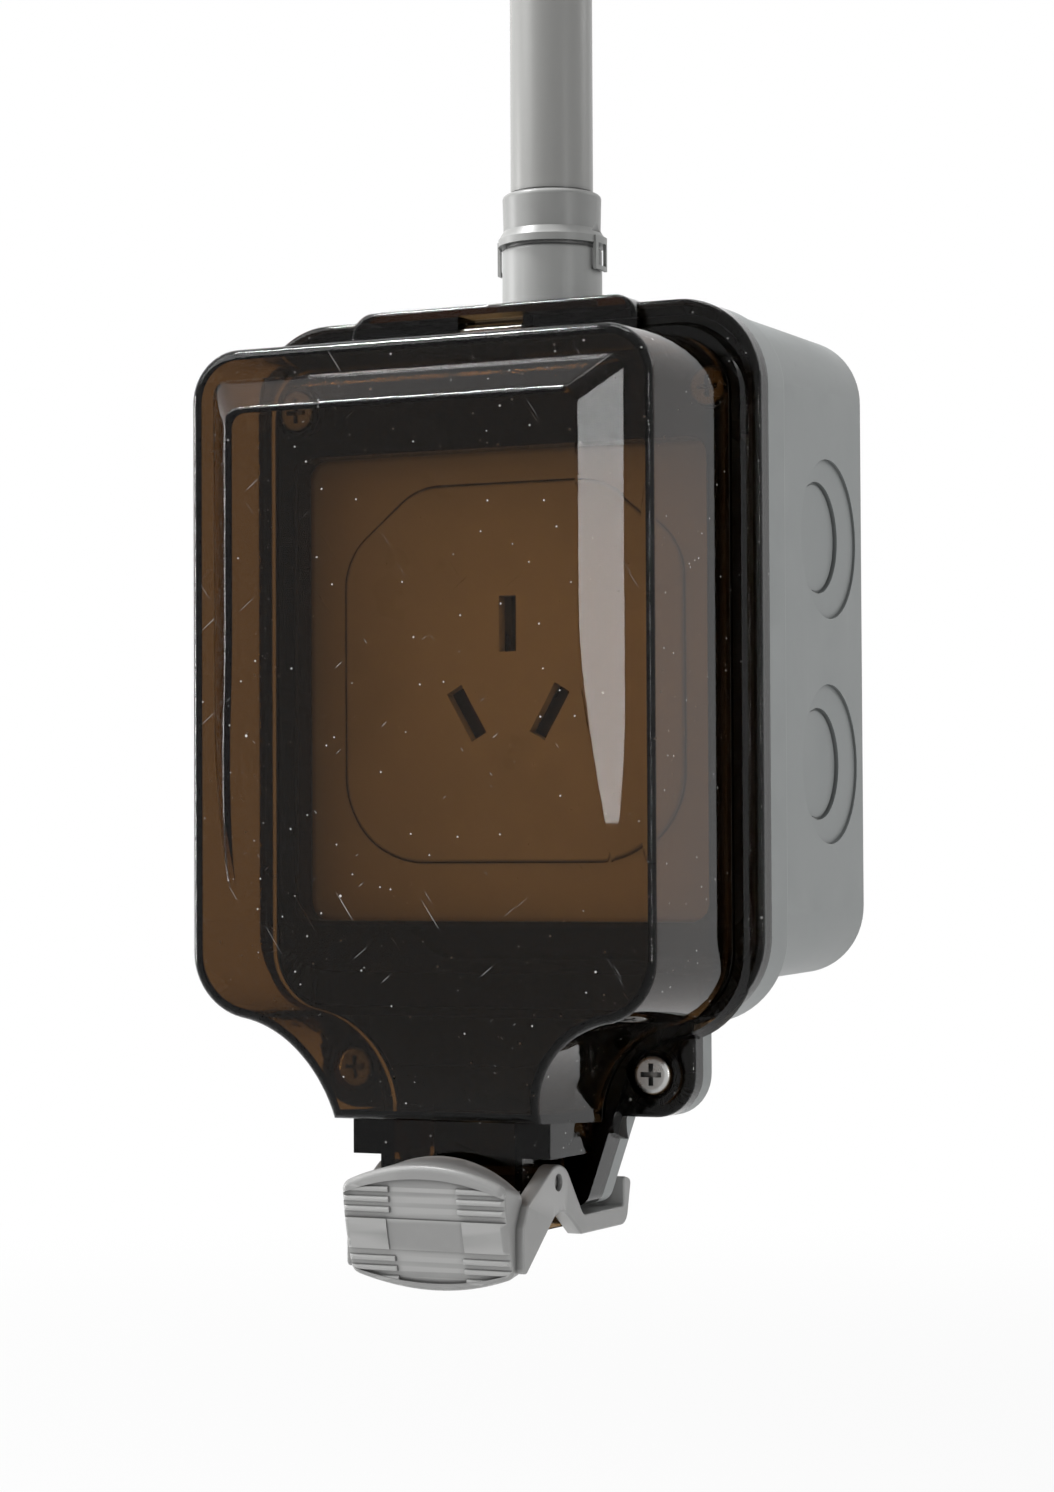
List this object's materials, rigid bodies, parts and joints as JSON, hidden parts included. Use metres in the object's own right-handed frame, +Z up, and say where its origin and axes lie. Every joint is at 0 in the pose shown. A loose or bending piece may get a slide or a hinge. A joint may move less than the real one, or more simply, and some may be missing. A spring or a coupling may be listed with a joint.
{
  "type": "weatherproof power outlet",
  "caption": "Surface-mounted weatherproof socket: grey wall box, smoked hinged lid with rocker latch, three-pin socket inside and conduit entering from above.",
  "frame": {"origin": "middle of the wall screw pattern on the wall plane, on the box's middle plane", "axes": "+Y into the wall, so the lid faces -Y; +Z up along the conduit; +X to the right from the front"},
  "size_m": [0.1004, 0.0961, 0.2373],
  "materials": {
    "box_grey": "fine satin moulded ABS",
    "latch_grey": "satin moulded nylon",
    "smoked": "polished smoked polycarbonate, see-through",
    "seal_rubber": "dull black rubber",
    "steel": "zinc plated steel",
    "pin_steel": "blackened steel",
    "socket_white": "satin white polycarbonate",
    "carrier": "pale moulded nylon",
    "base_dark": "dark moulded thermoset",
    "shutter_red": "dark moulded nylon",
    "brass": "bare brass strip",
    "conduit_grey": "smooth PVC",
    "fitting_grey": "moulded PVC"
  },
  "bodies": {
    "box": {"back_box": "box_grey", "box_gasket": "seal_rubber", "cover_frame": "smoked", "lid_seal": "seal_rubber", "hinge_pin": "pin_steel", "ear_screws": "steel", "top_screws": "steel", "cable_seal": "seal_rubber", "socket_plate": "socket_white", "socket_insert": "socket_white", "carrier_plate": "carrier", "carrier_screws": "steel", "socket_base": "base_dark", "base_screws": "steel", "earth_contact": "brass", "line_contact": "brass", "neutral_contact": "brass", "terminal_screws": "steel", "shutter_spring": "steel", "conduit": "conduit_grey", "conduit_adaptor": "fitting_grey", "conduit_nut": "fitting_grey", "conduit_locknut": "fitting_grey", "conduit_ring": "seal_rubber"},
    "lid": {"lid": "smoked", "latch_pins": "steel"},
    "latch": {"latch": "latch_grey"},
    "shutter": {"shutter": "shutter_red"}
  },
  "joints": [
    {"name": "lid_hinge", "type": "hinge", "parent": "box", "child": "lid", "pos_m": [0, -0.0582, 0.062], "axis": [-1, 0, 0], "range_deg": [0, 95]},
    {"name": "latch_pivot", "type": "hinge", "parent": "lid", "child": "latch", "pos_m": [0, -0.0696, -0.0865], "axis": [-1, 0, 0], "range_deg": [0, 18]},
    {"name": "shutter_slide", "type": "slide", "parent": "box", "child": "shutter", "axis": [0, 0, -1], "range_m": [0, 0.0078], "stiffness_N_per_m": 60, "springref_m": -0.003, "deforming": ["shutter_spring"]}
  ]
}
